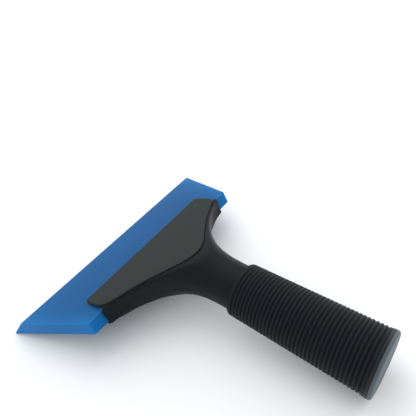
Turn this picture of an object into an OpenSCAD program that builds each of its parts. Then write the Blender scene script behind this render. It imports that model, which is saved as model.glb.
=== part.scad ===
// Squeegee applicator: an angled urethane blade clamped between the two jaws of
// a flared handle that drops away below the blade.
//
// Frame: +Z up, +Y from the butt towards the working edge, X across the blade.
// The tool lies on a bench on its working edge and on the rim of its butt, with
// its clamping face up. The origin is on the bench, below the middle of the tool.
//
// Inside the file the pieces are drawn in two helper frames:
//   blade frame   Y = 0 at the blade's back edge, Z = 0 at its mid-plane
//   handle frame  Z runs down the handle's axis, Y is up, square to that axis

/* [Blade] */
// Length of the working edge, tip to tip
edge_len = 127; // [110:1:160]
// Length of the blade's back edge
back_len = 94; // [86:1:108]
// Depth of the blade, from back edge to working edge
blade_w = 51; // [40:1:70]
// Thickness of the blade
blade_t = 6; // [4:0.5:8]
// Depth of the bevel on the upper side of the working edge
bevel_w = 8.8; // [4:0.2:14]

/* [Jaws] */
// Width of both jaws
head_w = 80; // [66:1:84]
// How far the jaws reach over the blade from its back edge
jaw_reach = 13.8; // [10:0.1:20]
// Thickness of the lower jaw
jaw_t = 1.6; // [1.2:0.1:3]
// Radius of the jaws' front corners
jaw_corner_r = 3; // [1:0.5:6]
// How far the jaws keep their full width behind the blade's back edge
jaw_back = 1.2; // [1:0.1:2]
// Height of the upper jaw's front lip above the blade
lip_h = 1.5; // [0.6:0.1:2.5]
// Slope of the clamping face against the blade
face_slope = 2.7; // [1:0.1:8]
// Thickness of the face plate
plate_t = 3.5; // [2.5:0.1:5]
// How far the face plate stands proud of the head
plate_proud = 0.6; // [0.2:0.1:1]
// Wall of the head beside the face plate's flanks
plate_margin = 2.6; // [1.2:0.1:3.5]
// Wall of the head at the face plate's two ends
plate_end_margin = 1.2; // [0.8:0.1:2]
// Rounding of the face plate's two rear corners
plate_corner_r = 4; // [1:0.5:6]

/* [Handle] */
// Angle by which the handle drops below the blade
handle_drop = 22.4; // [15:0.1:28]
// Height of the handle's axis above the blade's mid-plane at its back edge
axis_lift = 5.2; // [4:0.1:7]
// Distance along the axis from the blade's back edge to the collar
neck_len = 44.1; // [38:0.1:60]
// Radius of the neck at the collar
neck_r = 9.9; // [9.4:0.1:11]
// Distance along the axis at which the neck has flared to the jaws' width
flare_start = 1.6; // [0.5:0.1:4]
// How quickly the flare closes on to the neck
flare_power = 3.4; // [2.4:0.1:4]

/* [Grip] */
// Length of the grip sleeve
grip_len = 57.7; // [45:0.1:90]
// Radius over the ridges at the collar
grip_front_r = 11.5; // [11.2:0.1:14]
// Radius over the ridges at the butt
grip_back_r = 12.9; // [11.5:0.1:16]
// Number of ridges round the grip
ridge_count = 34; // [20:1:50]
// Depth of the grooves between the ridges
ridge_h = 0.45; // [0.2:0.05:0.8]
// Length of the smooth band at the collar
band_len = 2.6; // [1.5:0.1:4]
// Length of the smooth band at the butt
end_band_len = 1.6; // [1:0.1:4]
// Radius of the core inside the grip
core_r = 8; // [7:0.1:9]
// Radius of the hole up the core
core_bore_r = 5.5; // [4:0.1:6]
// Depth of the hole up the core
core_bore_len = 40; // [16:1:44]

/* [End cap] */
// Radius of the end cap
cap_r = 13.1; // [11.8:0.1:16]
// Thickness of the end cap
cap_t = 2.6; // [1.8:0.1:4]
// Radius of the end cap's rim
cap_edge_r = 0.9; // [0.5:0.1:1.6]
// Length of the end cap's plug
plug_len = 12; // [6:1:15]

/* [Fasteners] */
// Radius of the clamp screws' thread
screw_r = 1.5; // [1.5:0.25:2]
// Radius of the clamp screws' heads
screw_head_r = 2.75; // [2.6:0.05:3.5]
// Height of the clamp screws' heads
screw_head_h = 2.4; // [1.5:0.1:3]
// Distance between the two outer screws
screw_spread = 32; // [26:1:36]
// Distance of the outer screws behind the blade's back edge
screw_inset = 6.2; // [5.6:0.1:7]
// Distance of the middle screw behind the blade's back edge
apex_screw_inset = 17; // [14:0.5:20]
// Outer radius of the threaded inserts
insert_r = 2.3; // [2.2:0.05:2.8]
// Length of the threaded inserts
insert_len = 3.5; // [3:0.1:4]
// Radius of the bosses that hold the inserts
boss_r = 3.8; // [3.4:0.1:4.2]

/* [Fits] */
// Clearance between the blade and each jaw
blade_gap = 0.1; // [0.05:0.05:0.3]
// Clearance behind the blade's back edge
back_gap = 0.3; // [0.2:0.1:1]
// Clearance round pieces that are pressed or dropped into place
fit_gap = 0.05; // [0.02:0.01:0.2]
// Extra radius of the screw holes over the screws
screw_clear = 0.2; // [0.1:0.05:0.4]

/* [Hidden] */
$fn = 96;

// Longer than the tool, for cutting solids
far = 200;
// A cut starts this far outside the face it opens
over = 1;
// Rounding between the jaws' ends and the flare
rear_corner_r = 2.2;
// Outlines of the head start here along the axis, ahead of the jaws
side_start = -20;
side_steps = 48;
// The turned flare starts here, and is drawn in this many steps
flare_front = -14;
flare_steps = 56;
// Plastic between the lower jaw's underside and the seats of the screw heads
seat_depth = 1.9;
// From the screw heads' seats up to the bosses
boss_rise = 3;
// Size and depth of the hexagon sockets as parts of the screw heads' own
socket_share = 0.5;
socket_depth_share = 0.6;
// The screws end this far below the floor of their inserts
tip_short = 0.3;
// Parts of a ridge's pitch taken by half a groove's floor and by one flank
groove_share = 0.14;
flank_share = 0.16;
// Rounding of the grip's front end
shoulder = 1.2;
// Chamfer at the end of the cap's plug
lead_in = 0.8;

// Blade frame: heights of the jaws
blade_top = blade_t / 2;
seat_top = blade_top + blade_gap;
seat_bottom = -blade_top - blade_gap;
jaw_bottom = seat_bottom - jaw_t;
face_front_z = blade_top + lip_h;

// Handle frame: direction of the axis and of "up" beside it, as [y, z]
axis_dir = [-cos(handle_drop), -sin(handle_drop)];
axis_up = [-sin(handle_drop), cos(handle_drop)];
axis_start = [0, axis_lift];
grip_end = neck_len + grip_len;
butt_end = grip_end + cap_t;
core_end = grip_end - fit_gap;

// Screws, inserts and bosses stand square to the blade
screw_places = [
    [-screw_spread / 2, -screw_inset],
    [screw_spread / 2, -screw_inset],
    [0, -apex_screw_inset]
];
head_seat_z = jaw_bottom + seat_depth;
boss_bottom_z = head_seat_z + boss_rise;
screw_tip_z = boss_bottom_z + insert_len - tip_short;
socket_r = screw_head_r * socket_share;
socket_h = screw_head_h * socket_depth_share;

// Grooves between the ridges of the grip
ridge_pitch = (grip_len - band_len - end_band_len) / ridge_count;
groove_half = ridge_pitch * groove_share;
flank = ridge_pitch * flank_share;

// Rest: the line from the working edge that touches the rim of the butt below
rim_centre = axis_start + axis_dir * (butt_end - cap_edge_r) - axis_up * (cap_r - cap_edge_r);
edge_point = [blade_w, -blade_top];
rest_span = edge_point - rim_centre;
rest_tilt = atan2(rest_span[1], rest_span[0]) + asin(cap_edge_r / norm(rest_span));
// Middle of the tool's length once it is tilted, and its height over the bench
upper_rim = rim_centre + axis_up * 2 * (cap_r - cap_edge_r);
front_y = rested(edge_point)[0];
rear_y = rested(upper_rim)[0] - cap_edge_r;
rest_shift = [0, -(front_y + rear_y) / 2, -rested(edge_point)[1]];

// Turns a [y, z] point of the blade frame to the tool's tilt on the bench
function rested(p) = [
    p[0] * cos(rest_tilt) + p[1] * sin(rest_tilt),
    -p[0] * sin(rest_tilt) + p[1] * cos(rest_tilt)
];

// Radius of the neck's flare at a distance along the handle's axis
function flare_r(s) =
    neck_r + (head_w / 2 - neck_r) * pow(max(0, (neck_len - s) / (neck_len - flare_start)), flare_power);

// Height of the clamping face over the handle's axis at a distance along it
face_front = [jaw_reach, face_front_z] - axis_start;
function face_h(s) = face_front * axis_up + (s - face_front * axis_dir) * tan(handle_drop + face_slope);

// Half width of the flare where the clamping face cuts it, inset by a margin, squared
function face_cut_sq(s, margin) = pow(flare_r(s) - margin, 2) - pow(face_h(s), 2);

// Distance along the axis to the rear end of the fan, found by halving the interval
function fan_end(margin, low = flare_start, high = neck_len, n = 24) =
    n == 0 ? low :
    let (mid = (low + high) / 2)
    face_cut_sq(mid, margin) > 0 ? fan_end(margin, mid, high, n - 1) : fan_end(margin, low, mid, n - 1);

// The smaller of two widths, with the corner between them rounded
function soft_min(a, b, r) = min(a, b) - r * ln(1 + exp(-abs(a - b) / r));

// Half outlines, as [x, distance along the axis], from ahead of the jaws to the rear
function fan_side(gap) =
    let (margin = plate_margin - gap, end = fan_end(margin))
    [for (i = [0 : side_steps - 1])
        let (s = side_start + (end - side_start) * sin(90 * i / side_steps))
        [soft_min(head_w / 2 - plate_end_margin + gap, sqrt(face_cut_sq(s, margin)), plate_corner_r), s]];
function head_side() =
    [for (i = [0 : side_steps])
        let (s = side_start + (neck_len - side_start) * i / side_steps)
        [soft_min(head_w / 2, flare_r(s), rear_corner_r), s]];
function mirrored(points) = [for (i = [len(points) - 1 : -1 : 0]) [-points[i][0], points[i][1]]];

module in_rest() {
    translate(rest_shift) rotate([-rest_tilt, 0, 0]) children();
}

module on_axis(s = 0) {
    translate([0, 0, axis_lift]) rotate([90 + handle_drop, 0, 0]) translate([0, 0, s]) children();
}

// Z = 0 is the clamping face and Y = 0 its front edge
module on_face() {
    translate([0, jaw_reach, face_front_z]) rotate([-face_slope, 0, 0]) children();
}

// Extrudes a [y, z] outline across the tool
module across(width) {
    rotate([90, 0, 90]) translate([0, 0, -width / 2]) linear_extrude(width) children();
}

// An outline of half widths, extruded square to the handle's axis
module outline_prism(side) {
    on_axis() rotate([90, 0, 0]) linear_extrude(far, center = true) polygon(concat(side, mirrored(side)));
}

// The fan-shaped face plate with a gap round it, down to a depth below its face
module fan(gap, depth, rise = 0) {
    intersection() {
        outline_prism(concat(fan_side(gap), [[0, fan_end(plate_margin - gap)]]));
        on_face() translate([-far / 2, -far / 2, -depth]) cube([far, far, depth + rise]);
    }
}

// Plan of the jaws with their round front corners, without an end at the rear
module jaw_plan(half) {
    inner = half - jaw_corner_r;
    translate([0, 0, -far / 2]) linear_extrude(far) {
        translate([-half, -far]) square([2 * half, far + jaw_reach - jaw_corner_r]);
        translate([-inner, -far]) square([2 * inner, far + jaw_reach]);
        for (x = [-inner, inner]) translate([x, jaw_reach - jaw_corner_r]) circle(jaw_corner_r);
    }
}

module at_screws(z = 0) {
    for (place = screw_places) translate([place[0], place[1], z]) children();
}

// Radius over the ridges, and the outline of one groove across them, as [r, z]
function grip_r(z) = grip_front_r + (grip_back_r - grip_front_r) * z / grip_len;
function groove(z) = [
    [grip_r(z), z - groove_half - flank],
    [grip_r(z) - ridge_h, z - groove_half],
    [grip_r(z) - ridge_h, z + groove_half],
    [grip_r(z), z + groove_half + flank]
];

// Quarter arc of a turned edge, from a flat face round to a cylinder
function edge_arc(centre, r, from, to, n = 8) =
    [for (i = [0 : n]) let (a = from + (to - from) * i / n) centre + r * [cos(a), sin(a)]];

module blade_outline() {
    polygon([[-back_len / 2, 0], [back_len / 2, 0], [edge_len / 2, blade_w], [-edge_len / 2, blade_w]]);
}

module blade() {
    color("royalblue") in_rest() intersection() {
        translate([0, 0, -blade_top]) linear_extrude(blade_t) blade_outline();
        across(edge_len) polygon([
            [0, -blade_top], [blade_w, -blade_top], [blade_w - bevel_w, blade_top], [0, blade_top]
        ]);
    }
}

// Turned flare and neck, before the faces are cut
module flared_neck() {
    on_axis() rotate_extrude() polygon(concat(
        [[0, neck_len], [0, flare_front]],
        [for (i = [0 : flare_steps])
            let (s = flare_front + (neck_len - flare_front) * i / flare_steps)
            [flare_r(s), s]]
    ));
}

// Heights of the neck's straight underside and of the head's sloping top
function underside_z(y) = axis_lift + (y * sin(handle_drop) - neck_r) / cos(handle_drop);
function head_top_z(y) = face_front_z - plate_proud / cos(face_slope) + (jaw_reach - y) * tan(face_slope);

// Side view of the flare: sloping top, straight underside, and a front inside the jaws
module flare_profile() {
    front = over - jaw_back;
    knee_y = (neck_r + cos(handle_drop) * (jaw_bottom - axis_lift)) / sin(handle_drop);
    across(far) polygon([
        [knee_y, jaw_bottom], [-far, underside_z(-far)], [-far, head_top_z(-far)],
        [front, head_top_z(front)], [front, jaw_bottom + jaw_t / 2]
    ]);
}

// Side view of the jaws: flat below, with the same sloping top
module jaw_profile() {
    across(far) polygon([
        [jaw_reach, jaw_bottom], [-jaw_back, jaw_bottom],
        [-jaw_back, head_top_z(-jaw_back)], [jaw_reach, head_top_z(jaw_reach)]
    ]);
}

module handle_body() {
    color("dimgray") in_rest() difference() {
        union() {
            intersection() {
                flared_neck();
                flare_profile();
                outline_prism(head_side());
            }
            intersection() {
                jaw_profile();
                jaw_plan(head_w / 2);
            }
            on_axis(neck_len - over) cylinder(r = core_r, h = core_end - neck_len + over);
        }
        // Seat of the blade and the room above it
        translate([-far / 2, -back_gap, seat_bottom]) cube([far, far, far]);
        // Recess of the face plate
        fan(fit_gap, plate_t + fit_gap, over);
        // Bosses, screws and their heads
        at_screws(boss_bottom_z - fit_gap) cylinder(r = boss_r + fit_gap, h = far / 4);
        at_screws(-far / 4) cylinder(r = screw_r + screw_clear, h = far / 2);
        at_screws(head_seat_z - far / 4) cylinder(r = screw_head_r + screw_clear, h = far / 4);
        // Hole up the core
        on_axis(core_end - core_bore_len) cylinder(r = core_bore_r, h = core_bore_len + over);
    }
}

module face_plate() {
    color("darkslategray") in_rest() difference() {
        intersection() {
            union() {
                fan(0, plate_t);
                intersection() {
                    at_screws(boss_bottom_z) cylinder(r = boss_r, h = far / 4);
                    fan(0, far / 4);
                }
            }
            jaw_plan(head_w / 2 - plate_end_margin);
        }
        // Room for the blade under the jaw
        translate([-far / 2, -back_gap, seat_top - far]) cube([far, far, far]);
        at_screws(boss_bottom_z - over) cylinder(r = insert_r + fit_gap, h = insert_len + fit_gap + over);
    }
}

module thread_inserts() {
    color("goldenrod") in_rest() at_screws(boss_bottom_z) difference() {
        cylinder(r = insert_r, h = insert_len);
        translate([0, 0, -over]) cylinder(r = screw_r + fit_gap, h = insert_len + 2 * over);
    }
}

module clamp_screws() {
    color("silver") in_rest() at_screws() difference() {
        union() {
            translate([0, 0, head_seat_z - screw_head_h]) cylinder(r = screw_head_r, h = screw_head_h);
            translate([0, 0, head_seat_z - over]) cylinder(r = screw_r, h = screw_tip_z - head_seat_z + over);
        }
        // Hexagon socket
        translate([0, 0, head_seat_z - screw_head_h - over])
            cylinder(r = socket_r, h = socket_h + over, $fn = 6);
    }
}

module grip_sleeve() {
    bore = core_r + fit_gap;
    color("black") in_rest() on_axis(neck_len) rotate_extrude() polygon(concat(
        [[bore, 0]],
        edge_arc([grip_front_r - shoulder, shoulder], shoulder, -90, 0),
        [for (i = [0 : ridge_count]) each groove(band_len + ridge_pitch * i)],
        [[grip_back_r, grip_len], [bore, grip_len]]
    ));
}

module end_cap() {
    color("black") in_rest() on_axis(grip_end) rotate_extrude() polygon(concat(
        [[0, cap_t], [0, -plug_len], [core_bore_r - fit_gap - lead_in, -plug_len]],
        [[core_bore_r - fit_gap, lead_in - plug_len], [core_bore_r - fit_gap, 0], [cap_r, 0]],
        edge_arc([cap_r - cap_edge_r, cap_t - cap_edge_r], cap_edge_r, 0, 90)
    ));
}

blade();
handle_body();
face_plate();
thread_inserts();
clamp_screws();
grip_sleeve();
end_cap();
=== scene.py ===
"""Squeegee applicator: an angled urethane blade in the fan-shaped head of a flared handle.

The pieces are built in two helper frames, both in metres. The blade frame has Y = 0 at the
blade's back edge and Z = 0 at its mid-plane. The handle frame has Z down the handle's axis
and Y up. Both are turned to the tool's rest on the bench at the end.
"""

import math

import bmesh
import bpy
import numpy as np
from bpy.props import FloatProperty, FloatVectorProperty, IntProperty, PointerProperty
from mathutils import Matrix, Vector


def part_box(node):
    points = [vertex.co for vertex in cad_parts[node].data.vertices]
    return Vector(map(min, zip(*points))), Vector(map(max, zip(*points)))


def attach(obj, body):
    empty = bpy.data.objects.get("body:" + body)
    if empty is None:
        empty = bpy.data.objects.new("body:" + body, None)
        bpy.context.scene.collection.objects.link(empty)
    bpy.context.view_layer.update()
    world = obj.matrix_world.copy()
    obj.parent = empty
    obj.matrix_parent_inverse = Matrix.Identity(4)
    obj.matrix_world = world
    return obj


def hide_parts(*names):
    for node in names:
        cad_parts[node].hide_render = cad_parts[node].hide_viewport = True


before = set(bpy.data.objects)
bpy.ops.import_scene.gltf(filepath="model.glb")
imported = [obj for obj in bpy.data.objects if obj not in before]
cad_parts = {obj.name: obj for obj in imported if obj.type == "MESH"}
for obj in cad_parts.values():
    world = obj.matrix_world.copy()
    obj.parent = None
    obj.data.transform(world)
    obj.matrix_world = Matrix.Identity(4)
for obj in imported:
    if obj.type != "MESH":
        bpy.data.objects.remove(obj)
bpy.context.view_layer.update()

bl_info = {
    "name": "Squeegee Applicator",
    "version": (1, 0, 0),
    "blender": (4, 5, 0),
    "location": "View3D > Sidebar > Squeegee",
    "description": "Builds a clamp-head squeegee applicator round its packed CAD frame",
    "category": "Object",
}

MM = 0.001
# The surfaces drawn from distances start this far outside the piece
EDGE = 1.3 * MM


def node_width(node):
    """Width across the tool of a CAD node."""
    low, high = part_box(node)
    return high.x - low.x


def length(name, description, default):
    """A length property with its default in metres."""
    return FloatProperty(name=name, description=description, default=default, min=0, unit="LENGTH", precision=5)


def tint(name, description, default):
    """A linear colour property."""
    return FloatVectorProperty(
        name=name, description=description, default=default, size=3, min=0, max=1, subtype="COLOR"
    )


# ---------------------------------------------------------------- settings


class BladeSettings(bpy.types.PropertyGroup):
    """Sizes and colours of the urethane blade."""

    edge_length: length("Edge length", "Working edge, tip to tip", node_width("blade"))
    back_length: length("Back length", "Back edge of the blade", 94 * MM)
    depth: length("Depth", "From the back edge to the working edge", 51 * MM)
    thickness: length("Thickness", "Thickness of the blade", 6 * MM)
    bevel_depth: length("Bevel depth", "Depth of the bevel on the upper side", 8.8 * MM)
    tip_radius: length("Tip radius", "Rounding of the two tips in plan", 0.7 * MM)
    corner_radius: length("Corner radius", "Rounding of the two back corners in plan", 0.7 * MM)
    edge_softness: length("Edge softness", "Rounding of the long edges", 0.32 * MM)
    deep_colour: tint("Deep colour", "Colour in the middle of the blade", (0.005, 0.078, 0.225))
    # Painted light: the glow of light coming out near the edges is painted with this colour
    edge_glow_colour: tint("Edge colour", "Colour where light comes out near the edges", (0.008, 0.155, 0.42))


class HandleSettings(bpy.types.PropertyGroup):
    """Sizes and colours of the handle, its head and the face plate."""

    head_width: length("Head width", "Width of both jaws", node_width("handle_body"))
    jaw_reach: length("Jaw reach", "How far the jaws reach over the blade", 13.8 * MM)
    jaw_thickness: length("Jaw thickness", "Thickness of the lower jaw", 1.6 * MM)
    jaw_corner: length("Jaw corner", "Radius of the front corners of the jaws", 3 * MM)
    jaw_back: length("Jaw back", "How far the jaws keep their full width behind the blade", 1.2 * MM)
    lip: length("Lip", "Height of the upper jaw's front lip over the blade", 1.5 * MM)
    face_slope: FloatProperty(
        name="Face slope", description="Slope of the clamping face", default=math.radians(2.7), subtype="ANGLE",
    )
    plate_thickness: length("Plate thickness", "Thickness of the face plate", 3.5 * MM)
    plate_proud: length("Plate proud", "How far the face plate stands proud of the head", 0.6 * MM)
    plate_margin: length("Plate margin", "Wall of the head beside the face plate's flanks", 2.6 * MM)
    plate_end_margin: length("Plate end margin", "Wall of the head at the face plate's ends", 1.2 * MM)
    plate_corner: length("Plate corner", "Rounding of the face plate's two rear corners", 4 * MM)
    rear_corner: length("Rear corner", "Rounding between the jaws' ends and the flare", 2.2 * MM)
    shoulder: length("Shoulder", "Rounding of the head round the face plate", 2 * MM)
    drop: FloatProperty(
        name="Drop", description="Angle of the handle below the blade", default=math.radians(22.4),
        subtype="ANGLE",
    )
    axis_lift: length("Axis lift", "Height of the handle's axis at the blade's back edge", 5.2 * MM)
    neck_length: length("Neck length", "From the blade's back edge to the collar", 44.1 * MM)
    neck_radius: length("Neck radius", "Radius of the neck at the collar", 9.9 * MM)
    flare_start: length("Flare start", "Where the flare has the width of the jaws", 1.6 * MM)
    flare_power: FloatProperty(
        name="Flare power", description="How quickly the flare closes", default=3.4, min=1,
    )
    core_radius: length("Core radius", "Radius of the core inside the grip", 8 * MM)
    bore_radius: length("Bore radius", "Radius of the hole up the core", 5.5 * MM)
    bore_length: length("Bore length", "Depth of the hole up the core", 40 * MM)
    blade_gap: length("Blade gap", "Clearance between the blade and each jaw", 0.1 * MM)
    back_gap: length("Back gap", "Clearance behind the blade", 0.3 * MM)
    fit_gap: length("Fit gap", "Clearance round the pressed pieces", 0.05 * MM)
    cell: length("Cell", "Size of the cells that the moulded surfaces are drawn with", 0.45 * MM)
    body_colour: tint("Body colour", "Colour of the handle", (0.0040, 0.0062, 0.0082))
    plate_colour: tint("Plate colour", "Colour of the face plate", (0.0165, 0.0205, 0.0185))


class GripSettings(bpy.types.PropertyGroup):
    """Sizes and colours of the ridged grip and its end cap."""

    sleeve_length: length("Length", "Length of the grip sleeve", 57.7 * MM)
    front_radius: length("Front radius", "Radius over the ridges at the collar", 11.5 * MM)
    back_radius: length("Back radius", "Radius over the ridges at the butt", 12.9 * MM)
    ridge_count: IntProperty(name="Ridges", description="Number of ridges round the grip", default=34, min=1)
    ridge_height: length("Ridge height", "Depth of the grooves between the ridges", 0.45 * MM)
    band: length("Band", "Smooth band at the collar", 2.6 * MM)
    end_band: length("End band", "Smooth band at the butt", 1.6 * MM)
    shoulder: length("Shoulder", "Radius of the front shoulder", 1.2 * MM)
    cap_radius: length("Cap radius", "Radius of the end cap", 13.1 * MM)
    cap_thickness: length("Cap thickness", "Thickness of the end cap", 2.6 * MM)
    cap_rim: length("Cap rim", "Radius of the end cap's rim", 0.9 * MM)
    plug_length: length("Plug length", "Length of the end cap's plug", 12 * MM)
    sleeve_colour: tint("Sleeve colour", "Colour of the grip", (0.0062, 0.0088, 0.0110))
    # Painted light: the end cap's butt face is painted this lighter colour where light falls on it
    painted_lit_cap_colour: tint("Cap colour", "Colour of the end cap's face", (0.066, 0.090, 0.104))


class ScrewSettings(bpy.types.PropertyGroup):
    """Sizes of the three clamp screws and their places behind the blade."""

    thread_radius: length("Thread radius", "Outer radius of the thread", 1.5 * MM)
    thread_pitch: length("Thread pitch", "Distance between two turns", 0.5 * MM)
    thread_depth: length("Thread depth", "Depth of the thread", 0.25 * MM)
    head_radius: length("Head radius", "Radius of the heads", 2.75 * MM)
    head_height: length("Head height", "Height of the heads", 2.4 * MM)
    spread: length("Spread", "Distance between the two outer screws", 32 * MM)
    inset: length("Inset", "Distance of the outer screws behind the blade", 6.2 * MM)
    apex_inset: length("Apex inset", "Distance of the middle screw behind the blade", 17 * MM)
    seat_depth: length("Seat depth", "Plastic between the jaw's underside and the head's seat", 1.9 * MM)
    boss_rise: length("Boss rise", "From the head's seat to the bosses", 3 * MM)
    boss_radius: length("Boss radius", "Radius of the bosses round the inserts", 3.8 * MM)
    insert_radius: length("Insert radius", "Radius of the threaded inserts", 2.3 * MM)
    insert_length: length("Insert length", "Length of the threaded inserts", 3.5 * MM)
    clearance: length("Clearance", "Extra radius of the screw holes", 0.2 * MM)


class StageSettings(bpy.types.PropertyGroup):
    """Camera, floor and lights."""

    camera_place: FloatVectorProperty(
        name="Camera place", description="Where the camera stands", default=(-0.08989, -0.09963, 0.1645),
        size=3, unit="LENGTH", subtype="TRANSLATION",
    )
    camera_turn: FloatVectorProperty(
        name="Camera turn", description="How the camera is turned",
        default=(math.radians(50.261), math.radians(10.226), math.radians(-52.263)), size=3, subtype="EULER",
    )
    lens: FloatProperty(name="Lens", description="Focal length in millimetres", default=39.534, min=1)
    floor_colour: tint("Floor colour", "Colour of the floor", (0.90, 0.90, 0.90))
    overhead: FloatProperty(
        name="Overhead", description="Power of the overhead light in watts", default=2.8, min=0,
    )
    side: FloatProperty(name="Side", description="Power of the side light in watts", default=1.8, min=0)
    ambient: FloatProperty(name="Ambient", description="Strength of the sky", default=1.0, min=0)


class SqueegeeSettings(bpy.types.PropertyGroup):
    """All settings of the tool."""

    blade: PointerProperty(type=BladeSettings, name="Blade", description="Blade settings")
    handle: PointerProperty(type=HandleSettings, name="Handle", description="Handle settings")
    grip: PointerProperty(type=GripSettings, name="Grip", description="Grip settings")
    screws: PointerProperty(type=ScrewSettings, name="Screws", description="Screw settings")
    stage: PointerProperty(type=StageSettings, name="Stage", description="Stage settings")


# ---------------------------------------------------------------- placing


def rest_frame(tool):
    """Blade frame to the tool's rest on the bench: on its working edge and on the rim of its butt."""
    blade, handle, grip = tool.blade, tool.handle, tool.grip
    down = Vector((-math.cos(handle.drop), -math.sin(handle.drop)))
    up = Vector((-math.sin(handle.drop), math.cos(handle.drop)))
    butt = handle.neck_length + grip.sleeve_length + grip.cap_thickness
    ring = grip.cap_radius - grip.cap_rim
    rim = Vector((0, handle.axis_lift)) + down * (butt - grip.cap_rim) - up * ring
    edge = Vector((blade.depth, -blade.thickness / 2))
    span = edge - rim
    tilt = math.atan2(span.y, span.x) + math.asin(grip.cap_rim / span.length)
    turn = Matrix.Rotation(-tilt, 4, "X")
    front = turn @ Vector((0, edge.x, edge.y))
    top_rim = rim + up * 2 * ring
    rear = (turn @ Vector((0, top_rim.x, top_rim.y))).y - grip.cap_rim
    return Matrix.Translation((0, -(front.y + rear) / 2, -front.z)) @ turn


def axis_frame(tool):
    """Handle frame to the tool's rest: Z runs down the handle's axis from the blade's back edge."""
    turn = Matrix.Rotation(math.radians(90) + tool.handle.drop, 4, "X")
    return rest_frame(tool) @ Matrix.Translation((0, 0, tool.handle.axis_lift)) @ turn


def check_place(piece, node, slack=0.6 * MM):
    """Stops if a piece isn't where the CAD node that it stands for is."""
    low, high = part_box(node)
    points = np.array([v.co for v in piece.data.vertices])
    apart = max(np.abs(points.min(0) - np.array(low)).max(), np.abs(points.max(0) - np.array(high)).max())
    if apart > slack:
        raise RuntimeError(f"{piece.name} is {apart / MM:.2f} mm away from the CAD node {node}")


def settle(piece, body, node, material, slack=0.6 * MM):
    """Gives a piece its material, its body and the CAD node that it stands for."""
    check_place(piece, node, slack)
    piece.data.materials.append(material)
    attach(piece, body)
    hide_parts(node)


# ---------------------------------------------------------------- meshes


def new_object(name, mesh):
    """Links a mesh to the scene as an object."""
    for polygon in mesh.polygons:
        polygon.use_smooth = True
    piece = bpy.data.objects.new(name, mesh)
    bpy.context.scene.collection.objects.link(piece)
    return piece


def lathe(name, profile, place, segments=128):
    """Turns a closed [radius, height] profile round Z. A radius of 0 closes on the axis."""
    rings, verts, faces = [], [], []
    for radius, height in profile:
        if radius < 1e-9:
            rings.append([len(verts)])
            verts.append((0, 0, height))
            continue
        rings.append(list(range(len(verts), len(verts) + segments)))
        for i in range(segments):
            angle = 2 * math.pi * i / segments
            verts.append((radius * math.cos(angle), radius * math.sin(angle), height))
    for ring, after in zip(rings, rings[1:] + rings[:1]):
        for i in range(segments):
            corners = [ring[i % len(ring)], ring[(i + 1) % len(ring)]]
            corners += [after[(i + 1) % len(after)], after[i % len(after)]]
            unique = list(dict.fromkeys(corners))
            if len(unique) > 2:
                faces.append(unique)
    mesh = bpy.data.meshes.new(name)
    mesh.from_pydata(verts, [], faces)
    mesh.transform(place)
    fix_normals(mesh)
    return new_object(name, mesh)


def fix_normals(mesh):
    """Turns every face of a closed mesh outwards."""
    work = bmesh.new()
    work.from_mesh(mesh)
    bmesh.ops.recalc_face_normals(work, faces=work.faces)
    work.to_mesh(mesh)
    work.free()


def arc(centre, radius, start, end, steps=8):
    """Points of an arc in a profile, with its angles in degrees."""
    angles = [math.radians(start + (end - start) * i / steps) for i in range(steps + 1)]
    return [(centre[0] + radius * math.cos(a), centre[1] + radius * math.sin(a)) for a in angles]


def round_max(a, b, radius):
    """Intersection of two solids given as distances, with its outer edge rounded."""
    out = np.maximum(a + radius, 0) ** 2 + np.maximum(b + radius, 0) ** 2
    return np.minimum(-radius, np.maximum(a, b)) + np.sqrt(out)


def round_min(a, b, radius):
    """Union of two solids given as distances, with its inner edge filleted."""
    return -round_max(-a, -b, radius)


def slope_of(field, points, step):
    """Gradient of a distance field at points."""
    moves = np.eye(3) * step
    rise = [field(*(points + m).T) - field(*(points - m).T) for m in moves]
    return np.stack(rise, 1) / (2 * step)


def surface(name, field, low, high, cell, place, settle_rounds=4):
    """Mesh of the surface where a distance field is zero, as even quads with exact normals."""
    counts = [int(math.ceil((b - a) / cell)) + 1 for a, b in zip(low, high)]
    axes = [a + cell * np.arange(n) for a, n in zip(low, counts)]
    grid = np.empty(counts)
    for i, x in enumerate(axes[0]):
        grid[i] = field(x, axes[1][:, None], axes[2][None, :])
    inside = grid < 0
    cells = tuple(n - 1 for n in counts)
    crossings, weights = np.zeros(cells + (3,)), np.zeros(cells)
    quads = []
    index = np.full(cells, -1)
    edges = []
    for axis in range(3):
        first = np.take(grid, range(counts[axis] - 1), axis)
        second = np.take(grid, range(1, counts[axis]), axis)
        crossed = (first < 0) != (second < 0)
        where = np.argwhere(crossed)
        share = first[crossed] / (first[crossed] - second[crossed])
        points = where.astype(float)
        points[:, axis] += share
        others = [a for a in range(3) if a != axis]
        around = []
        for du, dv in ((-1, -1), (0, -1), (0, 0), (-1, 0)):
            near = where.copy()
            near[:, others[0]] += du
            near[:, others[1]] += dv
            around.append(near)
            kept = np.all((near >= 0) & (near < cells), 1)
            spot = tuple(near[kept].T)
            np.add.at(crossings, spot, points[kept])
            np.add.at(weights, spot, 1)
        edges.append((around, inside[tuple(where.T)], axis))
    used = weights > 0
    index[used] = np.arange(used.sum())
    verts = crossings[used] / weights[used][:, None] * cell + np.array(low)
    for around, starts_inside, axis in edges:
        whole = np.all([np.all((n >= 0) & (n < cells), 1) for n in around], 0)
        corners = np.stack([index[tuple(n[whole].T)] for n in around], 1)
        flip = starts_inside[whole] == (axis == 1)
        corners[flip] = corners[flip][:, ::-1]
        quads.append(corners)
    quads = np.concatenate(quads)
    verts = relax(verts, quads, field, cell, settle_rounds)
    normals = slope_of(field, verts, cell * 0.1)
    normals /= np.linalg.norm(normals, axis=1)[:, None]
    mesh = bpy.data.meshes.new(name)
    mesh.from_pydata(verts.tolist(), [], quads.tolist())
    mesh.transform(place)
    piece = new_object(name, mesh)
    turned = normals @ np.array(place.to_3x3()).T
    mesh.normals_split_custom_set_from_vertices(turned.tolist())
    return piece


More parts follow.
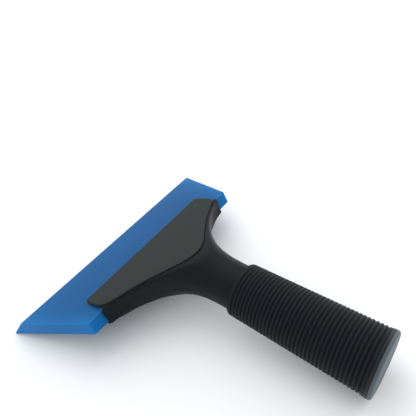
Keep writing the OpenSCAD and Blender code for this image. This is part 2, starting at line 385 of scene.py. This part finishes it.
def relax(verts, quads, field, cell, rounds):
    """Evens out a mesh's points and puts each exactly on the surface."""
    pairs = np.concatenate([quads[:, [i, (i + 1) % 4]] for i in range(4)])
    count = np.bincount(pairs[:, 0], minlength=len(verts)) + np.bincount(pairs[:, 1], minlength=len(verts))
    for step in range(rounds + 2):
        if step < rounds:
            total = np.zeros_like(verts)
            np.add.at(total, pairs[:, 0], verts[pairs[:, 1]])
            np.add.at(total, pairs[:, 1], verts[pairs[:, 0]])
            verts = verts + 0.5 * (total / count[:, None] - verts)
        slope = slope_of(field, verts, cell * 0.05)
        steep = np.maximum((slope**2).sum(1), 0.05)
        move = field(*verts.T) / steep
        verts = verts - np.clip(move, -cell, cell)[:, None] * slope
    return verts


# ---------------------------------------------------------------- the head's surfaces


class Head:
    """Distances of the head's surfaces in the blade frame, as the CAD draws them."""

    def __init__(self, tool):
        self.blade, self.handle, self.grip, self.screws = tool.blade, tool.handle, tool.grip, tool.screws
        handle = self.handle
        self.sin, self.cos = math.sin(handle.drop), math.cos(handle.drop)
        self.blade_top = self.blade.thickness / 2
        self.seat_top = self.blade_top + handle.blade_gap
        self.seat_bottom = -self.seat_top
        self.jaw_bottom = self.seat_bottom - handle.jaw_thickness
        self.face_front = self.blade_top + handle.lip
        self.head_seat = self.jaw_bottom + self.screws.seat_depth
        self.boss_bottom = self.head_seat + self.screws.boss_rise
        self.core_end = handle.neck_length + self.grip.sleeve_length - handle.fit_gap
        self.highest = self.face_front + 4 * MM
        reach, lift = handle.jaw_reach, self.face_front - handle.axis_lift
        self.front_h = -reach * self.sin + lift * self.cos
        self.front_s = -reach * self.cos - lift * self.sin

    def on_axis(self, y, z):
        """Distance along the handle's axis, and height over it."""
        z = z - self.handle.axis_lift
        return -y * self.cos - z * self.sin, -y * self.sin + z * self.cos

    def flare(self, s):
        """Radius of the flare along the axis, and how fast it changes."""
        handle = self.handle
        span, grow = handle.neck_length - handle.flare_start, handle.head_width / 2 - handle.neck_radius
        share = np.maximum((handle.neck_length - s) / span, 0)
        radius = handle.neck_radius + grow * share**handle.flare_power
        return radius, -grow * handle.flare_power / span * share ** (handle.flare_power - 1)

    def over_face(self, y, z):
        """Distance over the clamping face."""
        y, z = y - self.handle.jaw_reach, z - self.face_front
        return y * math.sin(self.handle.face_slope) + z * math.cos(self.handle.face_slope)

    def fan(self, x, s, gap=0.0):
        """Distance outside the face plate's fan outline, with a gap round it."""
        radius, change = self.flare(s)
        margin, end = self.handle.plate_margin - gap, self.handle.plate_end_margin - gap
        slope = math.tan(self.handle.drop + self.handle.face_slope)
        height = self.front_h + (s - self.front_s) * slope
        across = np.sqrt(x**2 + height**2)
        steep = np.sqrt((x / across) ** 2 + (height * slope / across - change) ** 2)
        curve = (across - radius + margin) / np.maximum(steep, 0.3)
        return round_max(curve, np.abs(x) - self.handle.head_width / 2 + end, self.handle.plate_corner)

    def jaws(self, x, y, margin=0.0):
        """Distance outside the jaws' plan, with its round front corners."""
        handle = self.handle
        side, front = np.abs(x) - handle.head_width / 2 + margin, y - handle.jaw_reach
        return round_max(side, front, handle.jaw_corner - margin)

    def at_screws(self, x, y, radius):
        """Distance outside the nearest of three upright cylinders at the screws."""
        screws = self.screws
        outer = np.hypot(np.abs(x) - screws.spread / 2, y + screws.inset)
        return np.minimum(outer, np.hypot(x, y + screws.apex_inset)) - radius

    def body(self, x, y, z):
        """The head, the neck and the core inside the grip."""
        handle, screws = self.handle, self.screws
        s, h = self.on_axis(y, z)
        radius, change = self.flare(s)
        turned = (np.hypot(x, h) - radius) / np.sqrt(1 + change**2)
        turned = round_max(turned, s - handle.neck_length, 0.3 * MM)
        wide, corner = handle.head_width / 2, handle.rear_corner
        pull = 1 / (1 + np.exp(np.clip((radius - wide) / corner, -50, 50)))
        half = np.minimum(radius, wide) - corner * np.log1p(np.exp(-np.abs(radius - wide) / corner))
        side = (np.abs(x) - half) / np.sqrt(1 + (change * pull) ** 2)
        under = round_min(self.jaw_bottom - z, -handle.neck_radius - h, 6 * MM)
        flare = round_max(round_max(turned, side, 0.6 * MM), y - MM + handle.jaw_back, 0.2 * MM)
        block = round_max(np.abs(x) - wide, -y - handle.jaw_back, 1.5 * MM)
        block = round_max(block, self.jaw_bottom - z, 1.2 * MM)
        plan = np.maximum(round_min(flare, block, 3.5 * MM), self.jaws(x, y))
        top = self.over_face(y, z) + handle.plate_proud
        behind = np.clip((handle.jaw_reach - MM - y) / (10 * MM), 0, 1)
        shoulder = 0.45 * MM + (handle.shoulder - 0.45 * MM) * behind
        head = round_max(round_max(plan, under, 1.5 * MM), top, shoulder)
        core = round_max(np.hypot(x, h) - handle.core_radius, s - self.core_end, 0.4 * MM)
        core = np.maximum(core, handle.neck_length - MM - s)
        solid = np.minimum(head, core)
        seat = np.minimum(y + handle.back_gap, z - self.seat_bottom)
        solid = round_max(solid, seat, 0.25 * MM)
        gap = handle.fit_gap
        recess = np.maximum(self.fan(x, s, gap), -self.over_face(y, z) - handle.plate_thickness - gap)
        solid = round_max(solid, -recess, 0.2 * MM)
        boss = np.maximum(self.at_screws(x, y, screws.boss_radius + gap), self.boss_bottom - gap - z)
        shank = self.at_screws(x, y, screws.thread_radius + screws.clearance)
        heads = np.maximum(self.at_screws(x, y, screws.head_radius + screws.clearance), z - self.head_seat)
        solid = round_max(solid, -np.minimum(boss, shank), 0.15 * MM)
        solid = round_max(solid, -heads, 0.3 * MM)
        bore = np.maximum(np.hypot(x, h) - handle.bore_radius, self.core_end - handle.bore_length - s)
        return round_max(solid, -bore, 0.3 * MM)

    def plate(self, x, y, z):
        """The face plate with its three bosses."""
        handle, screws = self.handle, self.screws
        s, _ = self.on_axis(y, z)
        over = self.over_face(y, z)
        fan = np.maximum(self.fan(x, s), self.jaws(x, y, handle.plate_end_margin))
        slab = round_max(round_max(fan, over, 0.5 * MM), -over - handle.plate_thickness, 0.25 * MM)
        boss = round_max(self.at_screws(x, y, screws.boss_radius), self.boss_bottom - z, 0.3 * MM)
        boss = np.maximum(np.maximum(boss, over + MM), fan)
        solid = np.minimum(slab, boss)
        room = np.minimum(y + handle.back_gap, self.seat_top - z)
        solid = round_max(solid, room, 0.2 * MM)
        insert = screws.insert_radius + handle.fit_gap
        bore = np.maximum(
            self.at_screws(x, y, insert), z - self.boss_bottom - screws.insert_length - handle.fit_gap
        )
        return round_max(solid, -bore, 0.15 * MM)


# ---------------------------------------------------------------- materials


class Wire:
    """A shader socket for use in expressions. An operator adds a Math node."""

    def __init__(self, tree, socket=None):
        self.tree, self.socket = tree, socket

    def node(self, kind, settings=None, inputs=None, output=0):
        """Adds a node: its type, its settings, then the values or wires of its sockets."""
        made = self.tree.nodes.new(kind)
        for name, value in (settings or {}).items():
            setattr(made, name, value)
        for name, value in (inputs or {}).items():
            socket = next((i for i in made.inputs if name in (i.identifier, i.name)), None)
            if socket is None:
                raise RuntimeError(f"{kind} has no socket {name}")
            if isinstance(value, Wire):
                self.tree.links.new(value.socket, socket)
            else:
                socket.default_value = value
        return Wire(self.tree, made.outputs[output])

    def math(self, operation, first, second=0.0, third=0.0):
        """Adds a Math node."""
        names = ("Value", "Value_001", "Value_002")
        return self.node("ShaderNodeMath", {"operation": operation}, dict(zip(names, (first, second, third))))

    def __add__(self, other):
        return self.math("ADD", self, other)

    def __sub__(self, other):
        return self.math("SUBTRACT", self, other)

    def __rsub__(self, other):
        return self.math("SUBTRACT", other, self)

    def __mul__(self, other):
        return self.math("MULTIPLY", self, other)

    __radd__, __rmul__ = __add__, __mul__

    def clamp(self):
        """The value held between 0 and 1."""
        return self.node("ShaderNodeClamp", None, {"Value": self})

    def step(self, start, end):
        """0 below start, 1 over end, and smooth between them."""
        return self.node(
            "ShaderNodeMapRange", {"interpolation_type": "SMOOTHSTEP"},
            {"Value": self, "From Min": start, "From Max": end},
        )

    def fade(self, reach):
        """1 at zero, falling away over a reach."""
        return self.math("EXPONENT", self * (-1 / reach))

    def mix(self, first, second):
        """Blends two colours by this value."""
        colours = {"Factor_Float": self, "A_Color": first, "B_Color": second}
        return self.node("ShaderNodeMix", {"data_type": "RGBA"}, colours, 2)

    def vary(self, colour, amount):
        """A colour that this value darkens or lightens by up to an amount."""
        return self.mix(shade(colour, 1 - amount), shade(colour, 1 + amount))

    def noise(self, scale, detail=2.0, roughness=0.5):
        """Noise at this vector."""
        inputs = {"Vector": self, "Scale": scale, "Detail": detail, "Roughness": roughness}
        return self.node("ShaderNodeTexNoise", None, inputs)

    def parts(self):
        """The three parts of a vector."""
        made = self.node("ShaderNodeSeparateXYZ", None, {"Vector": self})
        return [Wire(self.tree, out) for out in made.socket.node.outputs]


def shade(colour, factor=1.0):
    """A linear colour, lightened or darkened, with its alpha."""
    return (*[min(1.0, c * factor) for c in colour], 1)


class Finish:
    """A new material with its shader and a local coordinate to draw with."""

    def __init__(self, name, place=None, **constants):
        self.material = bpy.data.materials.new(name)
        self.material.use_nodes = True
        self.tree = self.material.node_tree
        self.shader = self.tree.nodes["Principled BSDF"]
        for socket, value in constants.items():
            self.shader.inputs[socket.replace("_", " ")].default_value = value
        start = Wire(self.tree)
        self.place = start.node("ShaderNodeTexCoord", None, None, 3)
        if place is not None:
            self.place = start.node(
                "ShaderNodeMapping", {"vector_type": "TEXTURE"},
                {"Vector": self.place, "Location": place.translation, "Rotation": place.to_euler()},
            )

    def drive(self, socket, wire):
        """Links a wire to one of the shader's sockets."""
        self.tree.links.new(wire.socket, self.shader.inputs[socket])

    def bump(self, height, distance, strength=1.0):
        """Drives the normal with a height."""
        self.drive("Normal", height.node(
            "ShaderNodeBump", None, {"Height": height, "Distance": distance, "Strength": strength}
        ))


def moulded(finish, colour, rough, mottle=0.12, grain=0.00002, spread=0.06):
    """Satin moulded plastic: faint mottling, a fine even grain and uneven gloss."""
    cloud = finish.place.noise(140, 3)
    speck = finish.place.noise(1400, 2)
    fine = finish.place.noise(3200, 2, 0.6)
    tone = (cloud - 0.5) * 1.6 + (speck - 0.5) * 0.8 + 0.5
    finish.drive("Base Color", tone.clamp().vary(colour, mottle))
    finish.drive("Roughness", (rough + (cloud - 0.5) * spread * 2 + (speck - 0.5) * spread).clamp())
    finish.bump(fine * 0.6 + speck * 0.4, grain)


def urethane(tool, place):
    """Cast urethane that light passes through: its glow towards the edges is painted into the base colour as
    painted light.
    """
    blade = tool.blade
    finish = Finish(
        "Cast_urethane", place, IOR=1.5, Specular_IOR_Level=0.06,
        Subsurface_Weight=0.35, Subsurface_Radius=(0.5, 1.2, 2.0), Subsurface_Scale=0.0015,
    )
    x, y, z = finish.place.parts()
    flare = (blade.edge_length - blade.back_length) / 2 / blade.depth
    ends = (blade.back_length / 2 + y * flare - x.math("ABSOLUTE", x)) * math.cos(math.atan(flare))
    front = blade.depth - y
    # Painted light: the glow near the ends, the working edge and the back edge is painted into the base colour
    glow = ends.math("MAXIMUM", ends, 0).fade(4.5 * MM) * 0.75
    glow = glow + front.math("MAXIMUM", front, 0).fade(11 * MM) * 0.55
    glow = glow + y.math("MAXIMUM", y, 0).fade(2.0 * MM) * 0.25
    cloud = finish.place.noise(45, 2)
    streak = finish.place.node("ShaderNodeVectorMath", {"operation": "MULTIPLY"}, {
        "Vector": finish.place, "Vector_001": (60, 900, 60)
    }).noise(1, 2)
    glow = glow + (cloud - 0.5) * 0.30 + (streak - 0.5) * 0.05
    finish.drive("Base Color", glow.clamp().mix(shade(blade.deep_colour), shade(blade.edge_glow_colour)))
    smear = finish.place.noise(90, 3, 0.6)
    finish.drive("Roughness", (0.36 + (smear - 0.5) * 0.20 + (streak - 0.5) * 0.05).clamp())
    grain = finish.place.noise(1800, 2)
    finish.bump(grain * 0.5 + streak * 0.5 + cloud * 2, 0.000012)
    return finish.material


def handle_plastic(tool, place):
    """Black satin plastic of the handle."""
    finish = Finish("Black_satin_plastic", place, Specular_IOR_Level=0.12)
    moulded(finish, tool.handle.body_colour, 0.46)
    return finish.material


def plate_plastic(tool, place):
    """Charcoal matt plastic of the face plate."""
    finish = Finish("Charcoal_matt_plastic", place, Specular_IOR_Level=0.15)
    moulded(finish, tool.handle.plate_colour, 0.6, mottle=0.16)
    return finish.material


def grip_rubber(tool, place):
    """Black rubber of the grip: polished and lighter with wear on the ridge tops, with painted shade darkening
    the grooves.
    """
    handle, grip = tool.handle, tool.grip
    finish = Finish("Black_grip_rubber", place, Specular_IOR_Level=0.12)
    x, y, z = finish.place.parts()
    radius = x.math("POWER", x * x + y * y, 0.5)
    taper = (grip.back_radius - grip.front_radius) / grip.sleeve_length
    top = grip.front_radius + (z - handle.neck_length) * taper
    ridge_wear_and_groove_shade = (radius - top).step(-0.5 * grip.ridge_height, -0.05 * grip.ridge_height)
    cloud = finish.place.noise(160, 3)
    speck = finish.place.noise(1600, 2)
    # Painted shade: the grooves below the ridge tops are painted darker; the lighter ridge tops stand for wear
    tone = ridge_wear_and_groove_shade * (0.35 + cloud * 0.65)
    finish.drive("Base Color", tone.clamp().vary(grip.sleeve_colour, 0.15))
    finish.drive("Roughness", (0.66 - ridge_wear_and_groove_shade * 0.16 + (cloud - 0.5) * 0.14).clamp())
    finish.bump(speck, 0.00002)
    return finish.material


def cap_plastic(tool, place):
    """Satin black plastic of the end cap, with faint rings from its mould: its butt face is painted a lighter
    tone as painted light, above a black side.
    """
    grip = tool.grip
    finish = Finish("Cap_satin_plastic_painted_lit_face", place, Specular_IOR_Level=0.25)
    x, y, z = finish.place.parts()
    radius = x.math("POWER", x * x + y * y, 0.5)
    butt = tool.handle.neck_length + grip.sleeve_length + grip.cap_thickness
    # Painted light: the butt face and its rim are painted lighter than the cap's black side
    painted_lit_face = z.step(butt - 1.3 * MM, butt - 1.15 * MM)
    rings = radius.math("SINE", radius * (2 * math.pi / (0.35 * MM)))
    cloud = finish.place.noise(260, 3)
    speck = finish.place.noise(1400, 2)
    tone = ((cloud - 0.5) * 1.6 + (speck - 0.5) + 0.5).clamp()
    painted_lit_grey, black = tone.vary(grip.painted_lit_cap_colour, 0.16), tone.vary(grip.sleeve_colour, 0.15)
    finish.drive("Base Color", painted_lit_face.mix(black, painted_lit_grey))
    finish.drive("Roughness", (0.5 + (cloud - 0.5) * 0.14).clamp())
    finish.bump(rings * 0.1 + speck, 0.000015)
    return finish.material


def metal(name, colour, rough):
    """Plated or machined metal with fine scratches and slight tarnish."""
    finish = Finish(name, None, Metallic=1.0)
    scratch = finish.place.node("ShaderNodeVectorMath", {"operation": "MULTIPLY"}, {
        "Vector": finish.place, "Vector_001": (9000, 900, 900)
    }).noise(1, 2)
    cloud = finish.place.noise(700, 3)
    tone = cloud * 0.7 + scratch * 0.3
    finish.drive("Base Color", tone.step(0.25, 0.75).mix(shade(colour, 0.7), shade(colour, 1.1)))
    finish.drive("Roughness", (rough + (scratch - 0.5) * 0.2 + (cloud - 0.5) * 0.2).clamp())
    finish.bump(scratch, 0.000006)
    return finish.material


# ---------------------------------------------------------------- operators


def rounded_outline(corners, steps=6):
    """Outline through corners given as ((x, y), radius), each rounded by an arc."""
    points = []
    for i, (corner, radius) in enumerate(corners):
        here = Vector(corner)
        before, after = (Vector(corners[(i + d) % len(corners)][0]) - here for d in (-1, 1))
        before.normalize()
        after.normalize()
        half = before.angle(after) / 2
        centre = here + (before + after).normalized() * (radius / math.sin(half))
        reach = radius / math.tan(half)
        start, end = here + before * reach - centre, here + after * reach - centre
        sweep = start.angle_signed(end)
        for k in range(steps + 1):
            turned = start.copy()
            turned.rotate(Matrix.Rotation(-sweep * k / steps, 2))
            points.append(centre + turned)
    return points


class SQUEEGEE_OT_blade(bpy.types.Operator):
    """Build the bevelled urethane blade"""

    bl_idname = "squeegee.blade"
    bl_label = "Blade"

    def execute(self, context):
        tool = context.scene.squeegee
        blade = tool.blade
        place = rest_frame(tool)
        half_edge, half_back, top = blade.edge_length / 2, blade.back_length / 2, blade.thickness / 2
        work = bmesh.new()
        rings = []
        for z, cut in ((-top, 0.0), (top, blade.bevel_depth)):
            depth = blade.depth - cut
            half_front = half_back + (half_edge - half_back) * depth / blade.depth
            outline = rounded_outline([
                ((-half_back, 0), blade.corner_radius), ((half_back, 0), blade.corner_radius),
                ((half_front, depth), blade.tip_radius), ((-half_front, depth), blade.tip_radius),
            ])
            rings.append([work.verts.new((p.x, p.y, z)) for p in outline])
        caps = [work.faces.new(rings[0][::-1]), work.faces.new(rings[1])]
        count = len(rings[0])
        for i in range(count):
            after = (i + 1) % count
            work.faces.new([rings[0][i], rings[0][after], rings[1][after], rings[1][i]])
        edges = [e for cap in caps for e in cap.edges]
        bmesh.ops.bevel(
            work, geom=edges, offset=blade.edge_softness, offset_type="OFFSET", segments=3, profile=0.5,
            affect="EDGES", clamp_overlap=True,
        )
        bmesh.ops.recalc_face_normals(work, faces=work.faces)
        mesh = bpy.data.meshes.new("blade_urethane")
        work.to_mesh(mesh)
        work.free()
        mesh.transform(place)
        piece = new_object("blade_urethane", mesh)
        piece.modifiers.new("Flat faces", "WEIGHTED_NORMAL").keep_sharp = True
        settle(piece, "blade", "blade", urethane(tool, place), blade.tip_radius)
        return {"FINISHED"}


class SQUEEGEE_OT_handle(bpy.types.Operator):
    """Build the moulded head, neck and core of the handle"""

    bl_idname = "squeegee.handle"
    bl_label = "Handle"

    def execute(self, context):
        tool = context.scene.squeegee
        place, head = rest_frame(tool), Head(tool)
        handle = tool.handle
        half = handle.head_width / 2 + EDGE
        rear_y = -head.core_end * head.cos - handle.core_radius * head.sin
        rear_z = handle.axis_lift - head.core_end * head.sin - handle.core_radius * head.cos
        low = (-half, rear_y - EDGE, rear_z - EDGE)
        high = (half, handle.jaw_reach + EDGE, head.highest)
        piece = surface("handle_head_and_neck", head.body, low, high, handle.cell, place)
        material = handle_plastic(tool, place)
        settle(piece, "handle", "handle_body", material, tool.handle.shoulder / 2)
        return {"FINISHED"}


class SQUEEGEE_OT_plate(bpy.types.Operator):
    """Build the fan-shaped face plate that clamps the blade"""

    bl_idname = "squeegee.plate"
    bl_label = "Face plate"

    def execute(self, context):
        tool = context.scene.squeegee
        place, head = rest_frame(tool), Head(tool)
        handle = tool.handle
        half = handle.head_width / 2
        low = (-half, -handle.neck_length, head.boss_bottom - EDGE)
        high = (half, handle.jaw_reach + EDGE, head.highest)
        piece = surface("face_plate_fan", head.plate, low, high, 0.8 * handle.cell, place)
        settle(piece, "handle", "face_plate", plate_plastic(tool, place))
        return {"FINISHED"}


class SQUEEGEE_OT_grip(bpy.types.Operator):
    """Build the ridged grip sleeve and the end cap"""

    bl_idname = "squeegee.grip"
    bl_label = "Grip and end cap"

    def execute(self, context):
        tool = context.scene.squeegee
        handle, grip = tool.handle, tool.grip
        axis = axis_frame(tool)
        pitch = (grip.sleeve_length - grip.band - grip.end_band) / grip.ridge_count
        bore = handle.core_radius + handle.fit_gap
        start, end = handle.neck_length, handle.neck_length + grip.sleeve_length

        def over(z):
            return grip.front_radius + (grip.back_radius - grip.front_radius) * z / grip.sleeve_length

        profile = [(bore, start)]
        shoulder = arc((grip.front_radius - grip.shoulder, grip.shoulder), grip.shoulder, -90, 0)
        profile += [(r, start + z) for r, z in shoulder]
        for i in range(grip.ridge_count + 1):
            for k in range(-5, 6):
                share = min(1, (5 - abs(k)) / 4)
                z = grip.band + pitch * (i + 0.06 * k)
                profile.append((over(z) - grip.ridge_height * share * share * (3 - 2 * share), start + z))
        profile += arc((grip.back_radius - 0.2 * MM, end - 0.2 * MM), 0.2 * MM, 0, 90, 4)
        profile.append((bore, end))
        sleeve = lathe("grip_sleeve_ridged", profile, axis, 112)
        settle(sleeve, "handle", "grip_sleeve", grip_rubber(tool, axis))

        plug, plug_end, lead_in = handle.bore_radius - handle.fit_gap, end - grip.plug_length, 0.8 * MM
        butt, edge = end + grip.cap_thickness, 0.35 * MM
        profile = [(0, plug_end), (plug - lead_in, plug_end), (plug, plug_end + lead_in), (plug, end)]
        profile += arc((grip.cap_radius - edge, end + edge), edge, -90, 0, 4)
        for depth, back in ((0, 1.4), (0.16, 1.3), (0.16, 1.2), (0, 1.1)):
            profile.append((grip.cap_radius - depth * MM, butt - back * MM))
        profile += arc((grip.cap_radius - grip.cap_rim, butt - grip.cap_rim), grip.cap_rim, 0, 90, 10)
        profile += [(grip.cap_radius * t, butt) for t in (0.8, 0.6, 0.4, 0.2)] + [(0, butt)]
        cap = lathe("end_cap_disc", profile, axis, 128)
        settle(cap, "handle", "end_cap", cap_plastic(tool, axis))
        return {"FINISHED"}


class SQUEEGEE_OT_fasteners(bpy.types.Operator):
    """Build the three clamp screws, and finish the brass inserts they turn in"""

    bl_idname = "squeegee.fasteners"
    bl_label = "Clamp screws and inserts"

    def execute(self, context):
        tool = context.scene.squeegee
        screws, head = tool.screws, Head(tool)
        place = rest_frame(tool)
        under = head.head_seat - screws.head_height
        tip = head.boss_bottom + screws.insert_length - 0.3 * MM
        across = screws.head_radius * 0.5 * math.cos(math.radians(30))

        def screw(x, y, z):
            radius = np.hypot(x, y)
            turn = (z / screws.thread_pitch - np.arctan2(y, x) / (2 * math.pi)) % 1
            groove = screws.thread_depth * np.clip(1 - np.abs(turn - 0.5) * 3.2, 0, 1)
            threaded = np.clip((z - head.head_seat - 1.5 * MM) / (0.3 * MM), 0, 1)
            shank = round_max((radius - screws.thread_radius + groove * threaded) * 0.8, z - tip, 0.3 * MM)
            shank = np.maximum(shank, under + MM - z)
            top = round_max(radius - screws.head_radius, under - z, 0.4 * MM)
            top = round_max(top, z - head.head_seat, 0.1 * MM)
            hexagon = np.abs(y)
            for angle in (60, 120):
                a = math.radians(angle)
                hexagon = np.maximum(hexagon, np.abs(x * math.sin(a) + y * math.cos(a)))
            socket = np.maximum(hexagon - across, z - under - screws.head_height * 0.6)
            return round_max(np.minimum(shank, top), -socket, 0.15 * MM)

        material = metal("Zinc_plated_steel", (0.55, 0.56, 0.57), 0.34)
        edge = 0.4 * MM
        reach = screws.head_radius + edge
        low, high = (-reach, -reach, under - edge), (reach, reach, tip + edge)
        half = screws.spread / 2
        parts = []
        for x, y in ((-half, -screws.inset), (half, -screws.inset), (0, -screws.apex_inset)):
            spot = place @ Matrix.Translation((x, y, 0))
            parts.append(surface("clamp_screws_hex", screw, low, high, 0.16 * MM, spot, 2))
        work = bmesh.new()
        for part in parts:
            work.from_mesh(part.data)
        joined = bpy.data.meshes.new("clamp_screws_hex")
        work.to_mesh(joined)
        work.free()
        for part in parts:
            bpy.data.objects.remove(part)
        piece = new_object("clamp_screws_hex", joined)
        settle(piece, "handle", "clamp_screws", material)
        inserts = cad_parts["thread_inserts"]
        inserts.data.materials.clear()
        inserts.data.materials.append(metal("Machined_brass", (0.62, 0.45, 0.18), 0.3))
        return {"FINISHED"}


class SQUEEGEE_OT_stage(bpy.types.Operator):
    """Set up the floor, the soft lights and the camera"""

    bl_idname = "squeegee.stage"
    bl_label = "Stage"

    def execute(self, context):
        scene, stage = context.scene, context.scene.squeegee.stage
        camera = bpy.data.objects.new("Camera", bpy.data.cameras.new("Camera"))
        camera.location, camera.rotation_euler = stage.camera_place, stage.camera_turn
        camera.data.lens = stage.lens
        camera.data.clip_start = 0.01
        scene.collection.objects.link(camera)
        scene.camera = camera
        mesh = bpy.data.meshes.new("studio_floor")
        work = bmesh.new()
        bmesh.ops.create_circle(work, cap_ends=True, segments=96, radius=6)
        work.to_mesh(mesh)
        work.free()
        floor = new_object("studio_floor", mesh)
        finish = Finish("Studio_floor", None, Roughness=0.8, Specular_IOR_Level=0.1)
        tone = finish.place.noise(3, 2)
        finish.drive("Base Color", tone.vary(stage.floor_colour, 0.005))
        mesh.materials.append(finish.material)
        middle = (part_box("blade")[0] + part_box("end_cap")[1]) / 2
        lights = (
            ("Overhead_light", (0.25, 0.35, 0.75), (0.9, 0.9), stage.overhead),
            ("Side_light", (0.75, -0.35, 0.30), (0.5, 0.35), stage.side),
        )
        for name, place, size, power in lights:
            light = bpy.data.lights.new(name, "AREA")
            light.shape, light.size, light.size_y, light.energy = "RECTANGLE", *size, power
            lamp = bpy.data.objects.new(name, light)
            lamp.location = place
            lamp.rotation_euler = (middle - Vector(place)).to_track_quat("-Z", "Y").to_euler()
            scene.collection.objects.link(lamp)
        world = bpy.data.worlds.new("Studio")
        world.use_nodes = True
        world.node_tree.nodes["Background"].inputs["Color"].default_value = (0.95, 0.97, 1.0, 1)
        world.node_tree.nodes["Background"].inputs["Strength"].default_value = stage.ambient
        scene.world = world
        scene.view_settings.view_transform = "Standard"
        return {"FINISHED"}


STEPS = (
    SQUEEGEE_OT_blade,
    SQUEEGEE_OT_handle,
    SQUEEGEE_OT_plate,
    SQUEEGEE_OT_grip,
    SQUEEGEE_OT_fasteners,
    SQUEEGEE_OT_stage,
)


class SQUEEGEE_PT_panel(bpy.types.Panel):
    """Lists the steps that build the squeegee applicator"""

    bl_idname = "SQUEEGEE_PT_panel"
    bl_label = "Squeegee Applicator"
    bl_space_type = "VIEW_3D"
    bl_region_type = "UI"
    bl_category = "Squeegee"

    def draw(self, context):
        for step in STEPS:
            self.layout.operator(step.bl_idname)
        tool = context.scene.squeegee
        for group in (tool.blade, tool.handle, tool.grip, tool.screws, tool.stage):
            box = self.layout.box()
            for name in group.bl_rna.properties.keys():
                if name not in ("rna_type", "name"):
                    box.prop(group, name)


CLASSES = (
    BladeSettings, HandleSettings, GripSettings, ScrewSettings, StageSettings, SqueegeeSettings, *STEPS,
    SQUEEGEE_PT_panel,
)


def register():
    for cls in CLASSES:
        bpy.utils.register_class(cls)
    bpy.types.Scene.squeegee = PointerProperty(
        type=SqueegeeSettings, name="Squeegee", description="Settings of the squeegee applicator"
    )


def unregister():
    del bpy.types.Scene.squeegee
    for cls in reversed(CLASSES):
        bpy.utils.unregister_class(cls)


def main():
    register()
    for name in ("blade", "handle", "plate", "grip", "fasteners", "stage"):
        getattr(bpy.ops.squeegee, name)()


if __name__ == "__main__":
    main()
